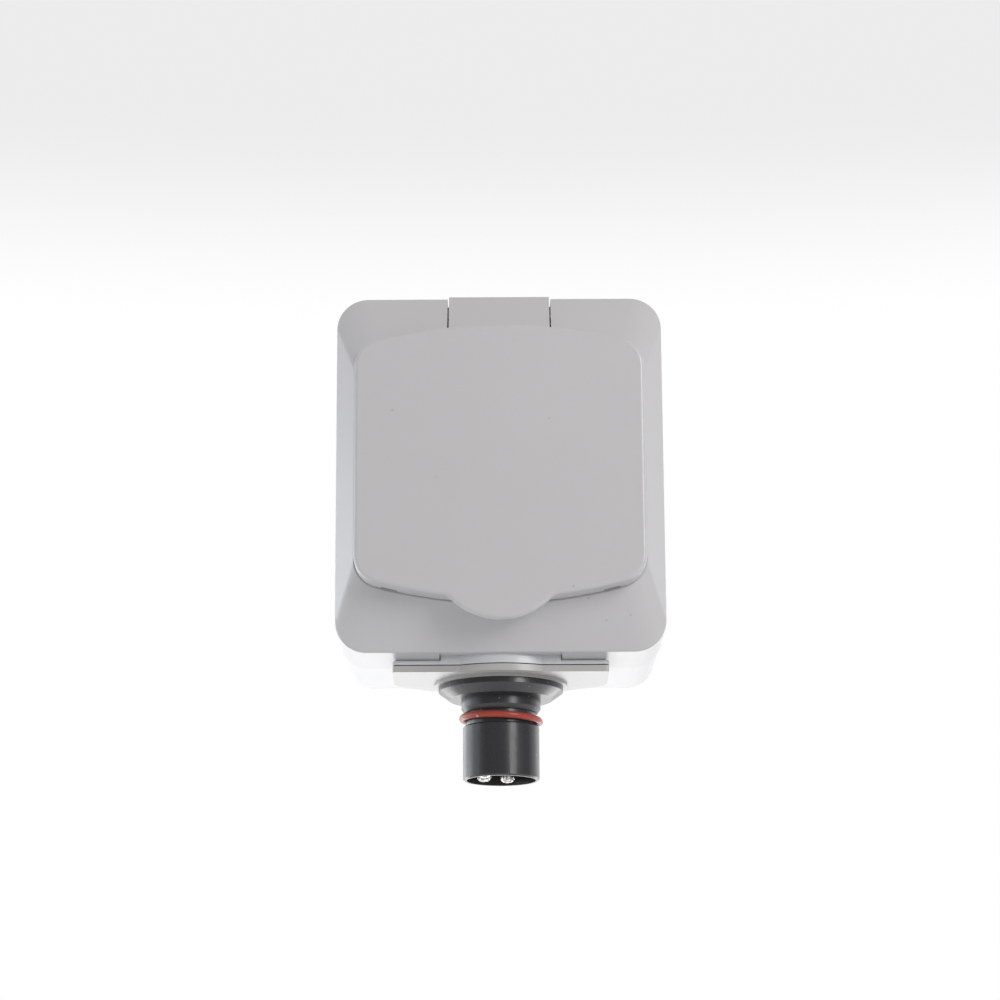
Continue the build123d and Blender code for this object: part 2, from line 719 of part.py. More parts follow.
# Earth terminal: brass body on the bow
with BuildPart() as earth_terminal:
    with BuildSketch(front_plane(block_rear + bow_thickness)):
        with Locations(((earth_terminal_left + earth_terminal_right) / 2, terminal_low)):
            Rectangle(earth_terminal_right - earth_terminal_left, terminal_high - terminal_low,
                      align=(Align.CENTER, Align.MIN))
    extrude(amount=terminal_front - block_rear - bow_thickness)
    with BuildSketch(level(terminal_low)):
        with Locations((earth_wire_x, -wire_depth)):
            Circle(wire_radius + seat_clearance / 2)
    extrude(amount=terminal_bore_depth, mode=Mode.SUBTRACT)
    with BuildSketch(front_plane(terminal_front)):
        with Locations((earth_wire_x, terminal_screw_height)):
            Circle(terminal_screw_radius + running_clearance / 2)
    extrude(amount=wire_depth - terminal_front, mode=Mode.SUBTRACT)
save(earth_terminal, "earth_terminal")

# Earth bow: sprung strip behind the block, with its two ends bent into the plug well
bow_rear = block_rear + bow_thickness / 2
bow_tip = mouth_of_well - bow_tip_setback
bow_half = [
    (bow_tip, bow_radius - bow_flare),
    (bow_tip - bow_flare_length, bow_contact_radius + bow_thickness / 2),
    (bow_tip - bow_shoulder_length, bow_radius),
    (bow_rear, bow_radius),
]
bow_points = [(-depth, well_height - reach) for depth, reach in bow_half]
bow_points += [(-depth, well_height + reach) for depth, reach in reversed(bow_half)]
with BuildPart() as earth_bow:
    with BuildSketch(Plane.YZ):
        with BuildLine():
            FilletPolyline(*bow_points, radius=bow_bend)
        trace(line_width=bow_thickness)
    extrude(amount=bow_width / 2, both=True)
save(earth_bow, "earth_bow")

# Terminal screws
for name, place in (("live", terminal_offset), ("neutral", -terminal_offset), ("earth", earth_wire_x)):
    terminal_screw = screw_shape(
        front_plane(terminal_front + slide_clearance), [(place, terminal_screw_height)],
        terminal_screw_radius, terminal_head_radius, terminal_head_height,
        terminal_front + slide_clearance - wire_depth - wire_radius - seat_clearance)
    save(terminal_screw, f"{name}_terminal_screw")

# Screws that hold the cover on the base and the block on its posts
for number, place in enumerate(cover_screw_places, 1):
    cover_screw = screw_shape(
        front_plane(cover_screw_seat), [place],
        screw_radius, screw_head_radius, screw_head_height, cover_screw_length)
    save(cover_screw, f"cover_screw_{number}")
for number, place in enumerate(block_screw_places, 1):
    block_screw = screw_shape(
        front_plane(block_screw_seat), [place],
        screw_radius, screw_head_radius, screw_head_height, block_screw_length)
    save(block_screw, f"block_screw_{number}")

# Outline of the plug-in plates: straight front with a round bulge, oval back
with BuildSketch() as plate_outline:
    with Locations((0, -entry_depth)):
        Circle(plate_back_radius)
    with Locations((0, -entry_depth - plate_end_back)):
        with GridLocations(plate_width - 2 * plate_end_radius, 0, 2, 1):
            Circle(plate_end_radius)
    make_hull()
    with Locations((0, -entry_depth - plate_end_back)):
        Rectangle(plate_width, plate_front - plate_end_back, align=(Align.CENTER, Align.MAX))
    fillet(plate_outline.vertices().group_by(Axis.Y)[0], plate_edge)
with BuildSketch() as plate_bulge:
    with Locations((0, -entry_depth)):
        Circle(plate_bulge_radius)
        Rectangle(3 * plate_bulge_radius, 3 * plate_bulge_radius,
                  align=(Align.CENTER, Align.MIN), mode=Mode.SUBTRACT)

# Plug-in cable entry: inner flange, neck in the slot of the walls, outer flange and plate
with BuildPart() as entry_adapter:
    with BuildSketch(level(plate_bottom)):
        add(plate_outline.sketch)
        add(plate_bulge.sketch)
    extrude(amount=plate_thickness)
    fillet(entry_adapter.faces().sort_by(Axis.Z)[-1].edges(), plate_edge)
    with BuildSketch(level(plate_bottom)):
        with Locations((0, -entry_depth)):
            Circle(outer_flange_width / 2)
            Rectangle(outer_flange_width, plate_front, align=(Align.CENTER, Align.MAX))
        add(plate_bulge.sketch)
        with Locations((0, -entry_depth)):
            Rectangle(outer_flange_width, 2 * plate_width, mode=Mode.INTERSECT)
    extrude(amount=plate_thickness + outer_flange_height)
    with BuildSketch(level(cover_bottom)):
        add(neck_outline.sketch)
    extrude(amount=neck_top - cover_bottom)
    with BuildSketch(level(neck_top)):
        add(neck_outline.sketch)
        offset(amount=flange_overlap)
    extrude(amount=inner_flange_thickness)
    with BuildSketch(level(plate_bottom)):
        with Locations((0, -entry_depth)):
            Circle(tail_radius + seat_clearance)
    extrude(amount=inner_flange_top - plate_bottom, mode=Mode.SUBTRACT)
save(entry_adapter, "entry_adapter")

# Thin gasket between the two plates
with BuildPart() as joint_gasket:
    with BuildSketch(level(flange_top)):
        add(plate_outline.sketch)
        add(plate_bulge.sketch)
        offset(amount=-joint_gasket_inset)
        with Locations((0, -entry_depth)):
            Circle(tail_radius + seat_clearance, mode=Mode.SUBTRACT)
    extrude(amount=joint_gasket_thickness)
save(joint_gasket, "joint_gasket")

# Lower plate with its round boss
with BuildPart() as connector_flange:
    with BuildSketch(level(flange_bottom)):
        add(plate_outline.sketch)
        add(plate_bulge.sketch)
    extrude(amount=flange_thickness)
    with BuildSketch(level(flange_bottom)):
        with Locations((0, -entry_depth)):
            Circle(ring_radius)
    extrude(amount=-ring_height)
    with BuildSketch(level(flange_top)):
        with Locations((0, -entry_depth)):
            Circle(tail_radius + seat_clearance)
    extrude(amount=collar_top - flange_top, mode=Mode.SUBTRACT)
save(connector_flange, "connector_flange")

# Shell of the round connector, turned about its upright axis
entry_section = Plane(origin=(0, -entry_depth, 0), x_dir=(1, 0, 0), z_dir=(0, -1, 0))
entry_axis = Axis((0, -entry_depth, 0), (0, 0, 1))
with BuildPart() as connector_shell:
    with BuildSketch(entry_section):
        with BuildLine():
            Polyline(
                (mouth_radius, mouth_height),
                (lower_barrel_radius - barrel_edge, mouth_height),
                (lower_barrel_radius, mouth_height + barrel_edge),
                (lower_barrel_radius, groove_bottom - barrel_edge),
                (lower_barrel_radius - barrel_edge, groove_bottom),
                (groove_radius, groove_bottom),
                (groove_radius, groove_top),
                (upper_barrel_radius - 2 * barrel_edge, groove_top),
                (upper_barrel_radius, groove_top + 3 * barrel_edge),
                (upper_barrel_radius, collar_bottom),
                (collar_flat_radius, collar_bottom),
                (collar_radius, collar_bottom + collar_chamfer),
                (collar_radius, collar_top),
                (tail_radius, collar_top),
                (tail_radius, tail_top - barrel_edge),
                (tail_radius - barrel_edge, tail_top),
                (tail_bore_radius, tail_top),
                (tail_bore_radius, insert_seat),
                (mouth_radius, insert_seat),
                close=True,
            )
        make_face()
    revolve(axis=entry_axis)
save(connector_shell, "connector_shell")

# Places of the connector's contacts round its axis
contact_places = {
    name: (contact_circle_radius * cos(radians(angle)),
           -entry_depth + contact_circle_radius * sin(radians(angle)))
    for name, angle in contact_angles.items()
}

# Insert that carries the contact pins
with BuildPart() as connector_insert:
    with BuildSketch(level(insert_face)):
        with Locations((0, -entry_depth)):
            Circle(mouth_radius - running_clearance)
    extrude(amount=insert_face_thickness)
    with BuildSketch(level(insert_seat)):
        with Locations((0, -entry_depth)):
            Circle(insert_radius)
    extrude(amount=insert_length - insert_face_thickness)
    with BuildSketch(level(insert_face)):
        with Locations(*contact_places.values()):
            Circle(contact_pin_radius + running_clearance / 2)
    extrude(amount=insert_length, mode=Mode.SUBTRACT)
save(connector_insert, "connector_insert")

# Contact pins, crimped to the wires behind the insert, and the wires up to the terminals
wire_ends = {"live": terminal_offset, "earth": earth_wire_x, "neutral": -terminal_offset}
for name, (x, y) in contact_places.items():
    with BuildPart() as connector_pin:
        with BuildSketch(level(mouth_height + contact_pin_recess)):
            with Locations((x, y)):
                Circle(contact_pin_radius)
        extrude(amount=insert_back - mouth_height - contact_pin_recess)
        fillet(connector_pin.edges().group_by(Axis.Z)[0], contact_pin_rounding * contact_pin_radius)
        with BuildSketch(level(insert_back)):
            with Locations((x, y)):
                Circle(crimp_radius)
        extrude(amount=crimp_height)
    save(connector_pin, f"connector_pin_{name}")
    with BuildPart() as wire:
        with BuildLine() as wire_path:
            FilletPolyline(
                (x, y, insert_back + crimp_height),
                (x, y, tail_top + wire_radius),
                (wire_ends[name], -wire_depth, block_low - wire_radius),
                (wire_ends[name], -wire_depth, terminal_screw_height + wire_radius / 2),
                radius=wire_bend,
            )
        with BuildSketch(Plane(origin=wire_path.line @ 0, z_dir=wire_path.line % 0)):
            Circle(wire_radius)
        sweep(path=wire_path.line)
    save(wire, f"{name}_wire")

# Sealing ring in the groove, sitting slightly askew
with BuildPart() as sealing_ring:
    with BuildSketch(Plane(origin=(0, -entry_depth, (groove_top + groove_bottom) / 2),
                           x_dir=(1, 0, 0), z_dir=(0, -1, 0)).rotated((0, ring_tilt, 0))):
        with Locations((groove_radius + ring_section_radius + running_clearance, 0)):
            Circle(ring_section_radius)
    revolve(axis=Axis((0, -entry_depth, (groove_top + groove_bottom) / 2),
                      (sin(radians(ring_tilt)), 0, cos(radians(ring_tilt)))))
save(sealing_ring, "sealing_ring")

# Washer and lock nut that clamp the connector from inside the housing
with BuildPart() as nut_washer:
    with BuildSketch(level(inner_flange_top)):
        with Locations((0, -entry_depth)):
            Circle(nut_washer_radius)
            Circle(tail_radius + seat_clearance, mode=Mode.SUBTRACT)
    extrude(amount=nut_washer_thickness)
save(nut_washer, "nut_washer")
with BuildPart() as lock_nut:
    with BuildSketch(level(inner_flange_top + nut_washer_thickness)):
        with Locations((0, -entry_depth)):
            RegularPolygon(nut_across_flats / 2, 6, major_radius=False)
            Circle(tail_radius + running_clearance, mode=Mode.SUBTRACT)
    extrude(amount=nut_height)
save(lock_nut, "lock_nut")
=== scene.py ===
"""Looks for a light grey surface-mounted socket with a hinged lid and a round plug-in connector."""

from math import cos, pi, radians, sin

import bmesh
import bpy
from bpy.props import FloatProperty, FloatVectorProperty, IntProperty, PointerProperty
from mathutils import Matrix, Vector


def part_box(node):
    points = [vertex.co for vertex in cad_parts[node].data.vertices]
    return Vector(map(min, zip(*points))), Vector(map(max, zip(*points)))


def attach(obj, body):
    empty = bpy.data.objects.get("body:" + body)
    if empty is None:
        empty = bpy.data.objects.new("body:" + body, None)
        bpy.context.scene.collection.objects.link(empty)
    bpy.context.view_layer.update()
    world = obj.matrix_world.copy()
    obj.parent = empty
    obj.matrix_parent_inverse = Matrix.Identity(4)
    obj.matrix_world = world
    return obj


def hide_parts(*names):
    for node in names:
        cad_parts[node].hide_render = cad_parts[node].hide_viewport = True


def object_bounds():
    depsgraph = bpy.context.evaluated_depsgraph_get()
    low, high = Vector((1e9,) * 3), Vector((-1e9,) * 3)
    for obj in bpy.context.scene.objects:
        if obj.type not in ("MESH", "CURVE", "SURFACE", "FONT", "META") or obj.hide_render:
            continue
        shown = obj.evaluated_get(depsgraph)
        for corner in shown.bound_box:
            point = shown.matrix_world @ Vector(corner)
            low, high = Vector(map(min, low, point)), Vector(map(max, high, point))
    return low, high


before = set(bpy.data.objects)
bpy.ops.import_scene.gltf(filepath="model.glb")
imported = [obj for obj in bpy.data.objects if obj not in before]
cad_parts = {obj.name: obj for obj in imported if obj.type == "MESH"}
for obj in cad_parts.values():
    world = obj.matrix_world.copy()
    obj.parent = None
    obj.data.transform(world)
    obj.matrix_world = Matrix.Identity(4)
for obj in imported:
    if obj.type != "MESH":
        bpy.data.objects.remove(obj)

bl_info = {
    "name": "Surface Socket",
    "version": (1, 0, 0),
    "blender": (4, 5, 0),
    "location": "3D View > Sidebar > Socket",
    "description": "Dresses a surface-mounted socket with a hinged lid and a round connector",
    "category": "Object",
}

CAD_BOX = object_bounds()
HOUSING = "housing"
LID = "lid"
MM = 0.001

# Screws, the lid's wall and the circle of ejector marks inside the lid
SCREW_RADIUS = 1.5 * MM
SCREW_HEAD = 1.8 * MM
LID_WALL = 1.8 * MM
MARK_CIRCLE = 14 * MM
MARK_COUNT = 6

# Edges round the added forms, and the turn that lays an upright form towards the front
RING_EDGES = 160
SECTION_EDGES = 40
MARK_EDGES = 40
RIDGE_EDGES = 3
TO_FRONT = (pi / 2, 0, 0)

# Places of the sockets of a colour mix and of a shader mix
MIX_FACTOR, MIX_FIRST, MIX_SECOND, MIX_RESULT = 0, 6, 7, 2
SHADER_FACTOR, SHADER_FIRST, SHADER_SECOND = 0, 1, 2

# Most of a noise's values lie in this span
NOISE_SPAN = (0.3, 0.7)

# Dust, wear and dirt
DUST_GREY = (0.42, 0.41, 0.40, 1)
SCUFF_GREY = (0.30, 0.30, 0.32, 1)
SILICONE_BLOOM = (0.50, 0.11, 0.07, 1)
SILICONE_DUST = (0.80, 0.56, 0.48, 1)
GRIME = (0.02, 0.02, 0.02, 1)

# Metals and wires
SILVER = (0.84, 0.83, 0.81)
BRASS = (0.80, 0.62, 0.30)
SPRING_STEEL = (0.60, 0.60, 0.61)
STEEL = (0.66, 0.67, 0.70)
BROWN = (0.16, 0.07, 0.035)
BLUE = (0.03, 0.12, 0.42)
GREEN = (0.10, 0.36, 0.08)
YELLOW = (0.75, 0.62, 0.05)

# How the stripe on a wire runs: radians to the metre along X and along Z
STRIPE_X, STRIPE_Z = 900.0, 160.0

# How deep each finish is textured, in metres for each unit of height
PLASTIC_GRAIN = 0.012 * MM
SATIN_GRAIN = 0.01 * MM
SILICONE_GRAIN = 0.012 * MM
RUBBER_GRAIN = 0.02 * MM
WIRE_GRAIN = 0.01 * MM
METAL_GRAIN = 0.015 * MM
CREASE_GRAIN = 0.22 * MM

# Heights of the marks in a texture, where its fine noise has the height 1
COARSE_HEIGHT = 0.5
SPECK_HEIGHT = 3.0
DRAG_HEIGHT = 0.6
DUST_HEIGHT = 2.0
PORE_HEIGHT = 4.0
CREASE_DEPTH = 0.8

# The photograph's camera
SENSOR_WIDTH = 36
FOCAL_LENGTH = 104.149
CAMERA_PLACE = (-1.21 * MM, -604.43 * MM, -147.18 * MM)
CAMERA_PITCH = radians(14.1027)
CAMERA_YAW = radians(0.1229)
CAMERA_ROLL = radians(-0.3061)
CLIP_START, CLIP_END = 0.05, 20

# Levels of the surroundings: a direction's share from low to high, taken to a start and an end.
# Soft light and reflections change from the front to the back, what is seen changes with height.
SOFT_LIGHT = (-0.8, 0.8, 0.47, 0.58)
MIRRORED_LIGHT = (0.2, 0.95, 0.29, 1.45)
SEEN_LIGHT = (0.298, 0.372, 1.0, 0.84)

# Floor: two tones of paper, and the level at which it is mirrored
FLOOR_REACH = 2.0
FLOOR_HEIGHT = -0.45
PAPER_LIGHT = (0.76, 0.76, 0.76, 1)
PAPER_DARK = (0.68, 0.68, 0.68, 1)
PAPER_ROUGHNESS = 0.9
FLOOR_MIRRORED = 1.25

# Lamps: name, place, width and height, power, colour
WHITE = (1.0, 1.0, 1.0)
COOL = (0.90, 0.95, 1.0)
LAMPS = (
    ("key_panel", (0.46, -0.66, 0.25), (0.26, 0.38), 3.5, WHITE),
    ("left_panel", (-0.75, 0.0, 0.02), (0.70, 0.50), 1.5, COOL),
    ("back_left_panel", (-0.70, 0.45, -0.08), (0.80, 0.60), 3.0, COOL),
    ("back_right_panel", (0.70, 0.45, -0.08), (0.80, 0.60), 1.1, COOL),
    ("low_panel", (0.0, 0.48, -0.40), (0.90, 0.40), 3.7, WHITE),
)


def box_centre(node):
    """Middle of a node's box at rest."""
    low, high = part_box(node)
    return (low + high) / 2


def box_size(node):
    """Lengths of the sides of a node's box at rest."""
    low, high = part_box(node)
    return high - low


class SocketSizes(bpy.types.PropertyGroup):
    """Sizes of the small forms that are added to the socket."""

    ring_section: FloatProperty(
        name="Ring section", description="Radius of the section of the sealing ring",
        default=0.7 * MM, min=0.1 * MM, unit="LENGTH")
    ring_tilt: FloatProperty(
        name="Ring tilt", description="How far the sealing ring sits askew in its groove",
        default=radians(2.7), subtype="ANGLE")
    screw_pitch: FloatProperty(
        name="Screw thread pitch", description="Pitch of the threads on the screws",
        default=0.9 * MM, min=0.2 * MM, unit="LENGTH")
    screw_depth: FloatProperty(
        name="Screw thread depth", description="Depth of the threads on the screws",
        default=0.18 * MM, min=0.02 * MM, unit="LENGTH")
    mark_radius: FloatProperty(
        name="Ejector mark radius", description="Radius of the round marks that the mould leaves inside",
        default=1.6 * MM, min=0.2 * MM, unit="LENGTH")
    mark_height: FloatProperty(
        name="Ejector mark height", description="How far the mould's round marks stand out",
        default=0.12 * MM, min=0.01 * MM, unit="LENGTH")
    turn_steps: IntProperty(
        name="Steps per turn", description="Edges along one turn of a thread", default=40, min=8)


class SocketColours(bpy.types.PropertyGroup):
    """Colours of the finishes."""

    cover: FloatVectorProperty(
        name="Cover", description="Light grey plastic of the cover and the lid",
        default=(0.545, 0.533, 0.541), subtype="COLOR", min=0, max=1)
    base: FloatVectorProperty(
        name="Base", description="Light grey plastic of the base box",
        default=(0.575, 0.575, 0.580), subtype="COLOR", min=0, max=1)
    adapter: FloatVectorProperty(
        name="Entry plate", description="Cool grey plastic of the upper plate",
        default=(0.580, 0.590, 0.615), subtype="COLOR", min=0, max=1)
    flange: FloatVectorProperty(
        name="Lower plate", description="Warm grey plastic of the lower plate",
        default=(0.440, 0.432, 0.422), subtype="COLOR", min=0, max=1)
    connector: FloatVectorProperty(
        name="Connector", description="Black plastic of the connector",
        default=(0.028, 0.028, 0.031), subtype="COLOR", min=0, max=1)
    ring: FloatVectorProperty(
        name="Sealing ring", description="Red silicone of the sealing ring",
        default=(0.33, 0.046, 0.030), subtype="COLOR", min=0, max=1)
    seal: FloatVectorProperty(
        name="Seals", description="Dark elastomer of the gaskets",
        default=(0.04, 0.04, 0.042), subtype="COLOR", min=0, max=1)
    block: FloatVectorProperty(
        name="Contact block", description="Off-white insulating moulding",
        default=(0.66, 0.645, 0.60), subtype="COLOR", min=0, max=1)


def add_node(tree, kind, settings, values):
    """Adds a node to a tree: its settings first, then the values or links of its sockets."""
    node = tree.nodes.new(kind)
    for key, value in (settings or {}).items():
        setattr(node, key, value)
    for key, value in (values or {}).items():
        if isinstance(value, bpy.types.NodeSocket):
            tree.links.new(value, node.inputs[key])
        else:
            node.inputs[key].default_value = value
    return node


class Signal:
    """A shader socket that takes part in sums; each operation adds its Math node."""

    def __init__(self, finish, socket):
        self.finish = finish
        self.socket = socket

    def _math(self, operation, *operands):
        """Adds a Math node on its operands."""
        return self.finish.node("ShaderNodeMath", {"operation": operation}, dict(enumerate(operands)))

    def __add__(self, other):
        return self._math("ADD", self, other)

    def __radd__(self, other):
        return self._math("ADD", other, self)

    def __sub__(self, other):
        return self._math("SUBTRACT", self, other)

    def __rsub__(self, other):
        return self._math("SUBTRACT", other, self)

    def __mul__(self, other):
        return self._math("MULTIPLY", self, other)

    def __rmul__(self, other):
        return self._math("MULTIPLY", other, self)

    def above(self, edge):
        """1 where this is above the edge, else 0."""
        return self._math("GREATER_THAN", self, edge)

    def sine(self):
        """Sine of this, in radians."""
        return self._math("SINE", self)

    def between(self, low, high, start=0.0, end=1.0):
        """This, taken from low..high to start..end and held there."""
        return self.finish.node("ShaderNodeMapRange", {"clamp": True, "interpolation_type": "SMOOTHSTEP"}, {
            "Value": self, "From Min": low, "From Max": high, "To Min": start, "To Max": end})

    def spread(self, start=0.0, end=1.0):
        """This, a noise, taken over its span to start..end."""
        return self.between(*NOISE_SPAN, start, end)

    def levels(self, start, end):
        """This, a share from 0 to 1, taken to start..end."""
        return self.between(0, 1, start, end)


class Finish:
    """One node tree, of a material or of the world."""

    def __init__(self, owner):
        owner.use_nodes = True
        self.owner = owner
        self.tree = owner.node_tree
        self.tree.nodes.clear()

    def node(self, kind, settings=None, values=None, output=0):
        """Adds a node and gives one of its outputs, or nothing where it ends the tree."""
        sockets = {key: value.socket if isinstance(value, Signal) else value
                   for key, value in (values or {}).items()}
        node = add_node(self.tree, kind, settings, sockets)
        return Signal(self, node.outputs[output]) if node.outputs else None

    def place(self, stretch):
        """Object coordinates, stretched along the axes."""
        coordinates = self.node("ShaderNodeTexCoord", output="Object")
        return self.node("ShaderNodeMapping", {"vector_type": "POINT"}, {
            "Vector": coordinates, "Scale": stretch})

    def axis(self, name, coordinates="Object"):
        """One of the coordinates: of the object in metres, or of a direction in the world."""
        whole = self.node("ShaderNodeTexCoord", output=coordinates)
        return self.node("ShaderNodeSeparateXYZ", values={"Vector": whole}, output=name)

    def ray(self, kind):
        """1 for rays of a kind, else 0."""
        return self.node("ShaderNodeLightPath", output=kind)

    def noise(self, scale, detail=2.0, roughness=0.5, stretch=(1, 1, 1)):
        """Soft noise from 0 to 1, with about scale lumps to the metre."""
        return self.node("ShaderNodeTexNoise", {"noise_dimensions": "3D"}, {
            "Vector": self.place(stretch), "Scale": scale, "Detail": detail, "Roughness": roughness})

    def cells(self, scale, feature="F1", output="Distance", stretch=(1, 1, 1)):
        """Voronoi cells, about scale of them to the metre."""
        return self.node("ShaderNodeTexVoronoi", {"feature": feature}, {
            "Vector": self.place(stretch), "Scale": scale}, output=output)

    def specks(self, scale, size, share):
        """1 on sparse round specks: cells of one scale, a speck of a size in a share of them."""
        colour = self.cells(scale, output="Color")
        chance = self.node("ShaderNodeSeparateColor", values={"Color": colour}, output="Red")
        # Full within half its size and gone at its size
        near = self.cells(scale).between(low=size, high=size * 0.5)
        return near * chance.above(1 - share)

    def mix(self, factor, first, second, blend="MIX"):
        """Mixes two colours."""
        return self.node("ShaderNodeMix", {"data_type": "RGBA", "blend_type": blend},
                         {MIX_FACTOR: factor, MIX_FIRST: first, MIX_SECOND: second}, output=MIX_RESULT)

    def laid(self, base, colour, where, share):
        """A colour laid over a base where a signal is 1, covering a share of it."""
        return self.mix(where * share, base, colour)

    def bump(self, height, distance):
        """Normal that follows a height, a distance in metres for each unit."""
        return self.node("ShaderNodeBump", values={"Height": height, "Distance": distance, "Strength": 1.0})

    def surface(self, values):
        """Principled shader on the output."""
        shader = self.node("ShaderNodeBsdfPrincipled", values=values)
        self.node("ShaderNodeOutputMaterial", values={"Surface": shader})
        return self.owner


def rgba(colour, level=1.0):
    """Colour with alpha, made lighter or darker by a level."""
    return (*[min(1.0, part * level) for part in colour], 1.0)


def new_finish(name):
    """Starts a material of a name."""
    return Finish(bpy.data.materials.new(name))


def moulded_plastic(name, colour, roughness=0.30, mottle=0.006):
    """Moulded thermoplastic: fine eroded texture, faint flow mottle and a few specks of dust."""
    finish = new_finish(name)
    flow = finish.noise(scale=28, detail=3).spread(1 - mottle, 1 + mottle)
    base = finish.mix(1.0, rgba(colour), flow, "MULTIPLY")
    speck = finish.specks(scale=130, size=0.05, share=0.8)
    base = finish.laid(base, rgba(colour, level=0.45), where=speck, share=0.35)
    texture = finish.noise(scale=5200) + COARSE_HEIGHT * finish.noise(scale=1900)
    shine = finish.noise(scale=60, detail=3).spread(roughness - 0.01, roughness + 0.01)
    return finish.surface({
        "Base Color": base, "Roughness": shine, "IOR": 1.49,
        "Normal": finish.bump(texture + SPECK_HEIGHT * speck, PLASTIC_GRAIN)})


def black_plastic(name, colour):
    """Black satin plastic with faint upright drag marks, dust and a few pale scuffs."""
    finish = new_finish(name)
    drag = finish.noise(scale=900, detail=3, stretch=(1, 1, 0.04)).between(low=0.35, high=0.75)
    dust = finish.specks(scale=520, size=0.10, share=0.35)
    rubbed = finish.noise(scale=420, detail=5, roughness=0.65).between(low=0.68, high=0.78)
    scuff = rubbed * finish.noise(scale=90).between(low=0.52, high=0.62)
    tone = finish.laid(rgba(colour), rgba(colour, level=1.6), where=drag, share=0.25)
    tone = finish.laid(tone, SCUFF_GREY, where=scuff, share=0.45)
    tone = finish.laid(tone, DUST_GREY, where=dust, share=0.5)
    shine = finish.noise(scale=140, detail=3).spread(0.25, 0.33)
    texture = finish.noise(scale=4200) + DRAG_HEIGHT * drag + DUST_HEIGHT * dust
    return finish.surface({
        "Base Color": tone, "Roughness": shine, "IOR": 1.5, "Normal": finish.bump(texture, SATIN_GRAIN)})


def silicone(name, colour):
    """Red silicone with a dull bloom and a few pale specks."""
    finish = new_finish(name)
    bloom = finish.noise(scale=260, detail=4, roughness=0.6).between(low=0.35, high=0.75)
    tone = finish.laid(rgba(colour), SILICONE_BLOOM, where=bloom, share=0.25)
    dust = finish.specks(scale=500, size=0.18, share=0.6)
    tone = finish.laid(tone, SILICONE_DUST, where=dust, share=0.8)
    return finish.surface({
        "Base Color": tone, "Roughness": bloom.levels(0.34, 0.5), "IOR": 1.43,
        "Normal": finish.bump(finish.noise(scale=3000, detail=3) + dust, SILICONE_GRAIN)})


def rubber(name, colour, pore=0.0):
    """Matt elastomer; with a pore size it is closed foam, with painted shade darkening its pores."""
    finish = new_finish(name)
    cloud = finish.noise(scale=120, detail=4, roughness=0.6).spread()
    tone = finish.laid(rgba(colour), rgba(colour, level=1.5), where=cloud, share=0.5)
    height = finish.noise(scale=2600, detail=3)
    if pore:
        hollow_with_painted_shade = finish.cells(1 / pore).between(low=0.15, high=0.5)
        height = height + PORE_HEIGHT * hollow_with_painted_shade
        # Painted shade: the colour darkened inside the pores
        tone = finish.laid(tone, rgba(colour, level=0.5), where=1 - hollow_with_painted_shade, share=0.5)
    return finish.surface({
        "Base Color": tone, "Roughness": cloud.levels(0.62, 0.8), "IOR": 1.5,
        "Normal": finish.bump(height, RUBBER_GRAIN)})


def turned_metal(name, colour, roughness=0.22, lines=(1, 1, 60)):
    """Plated or turned metal with fine lines across an axis and patches of tarnish."""
    finish = new_finish(name)
    line = finish.noise(scale=180, detail=4, roughness=0.6, stretch=lines)
    patch = finish.noise(scale=420, detail=4, roughness=0.6).between(low=0.45, high=0.75)
    tone = finish.laid(rgba(colour), rgba(colour, level=0.45), where=patch, share=0.25)
    shine = line.between(low=0.2, high=0.8, start=roughness * 0.7, end=roughness * 1.4)
    return finish.surface({
        "Base Color": tone, "Metallic": 1.0, "Roughness": shine + patch * 0.1,
        "Normal": finish.bump(line, METAL_GRAIN)})


def creased_metal(name, colour):
    """Plated contact metal with sharp creases and bright faces, with painted shade darkening the creases and
    painted shade in dark patches between the bright faces.
    """
    finish = new_finish(name)
    edges = finish.cells(1150, feature="DISTANCE_TO_EDGE", stretch=(1, 1, 0.45))
    crease_with_painted_shade = edges.between(low=0.03, high=0.16, start=1, end=0)
    hollow_with_painted_shade = finish.noise(scale=900, detail=3, roughness=0.6).between(low=0.36, high=0.58)
    # Painted shade: the metal's colour darkened along the creases
    tone = finish.laid(rgba(colour), rgba(colour, level=0.12), where=crease_with_painted_shade, share=0.75)
    # Painted shade: dark patches laid between the bright faces
    tone = finish.laid(tone, rgba(colour, level=0.22), where=hollow_with_painted_shade, share=0.7)
    texture = finish.noise(scale=1300, detail=3) - CREASE_DEPTH * crease_with_painted_shade
    return finish.surface({
        "Base Color": tone, "Metallic": 1.0, "Roughness": hollow_with_painted_shade.levels(0.24, 0.4),
        "Normal": finish.bump(texture, CREASE_GRAIN)})


def insulation(name, colour, stripe=None):
    """Wire insulation, with a stripe of a second colour on one side if one is given."""
    finish = new_finish(name)
    tone = rgba(colour)
    if stripe:
        wave = (finish.axis("X") * STRIPE_X + finish.axis("Z") * STRIPE_Z).sine()
        tone = finish.mix(wave.between(low=-0.1, high=0.1), rgba(colour), rgba(stripe))
    cloud = finish.noise(scale=300, detail=3).spread()
    return finish.surface({
        "Base Color": finish.laid(tone, GRIME, where=cloud, share=0.2), "Roughness": cloud.levels(0.35, 0.5),
        "Normal": finish.bump(finish.noise(scale=2500), WIRE_GRAIN)})


def paint(material, *nodes):
    """Gives nodes of the frame one finish."""
    for name in nodes:
        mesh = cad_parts[name].data
        mesh.materials.clear()
        mesh.materials.append(material)
        for face in mesh.polygons:
            face.material_index = 0


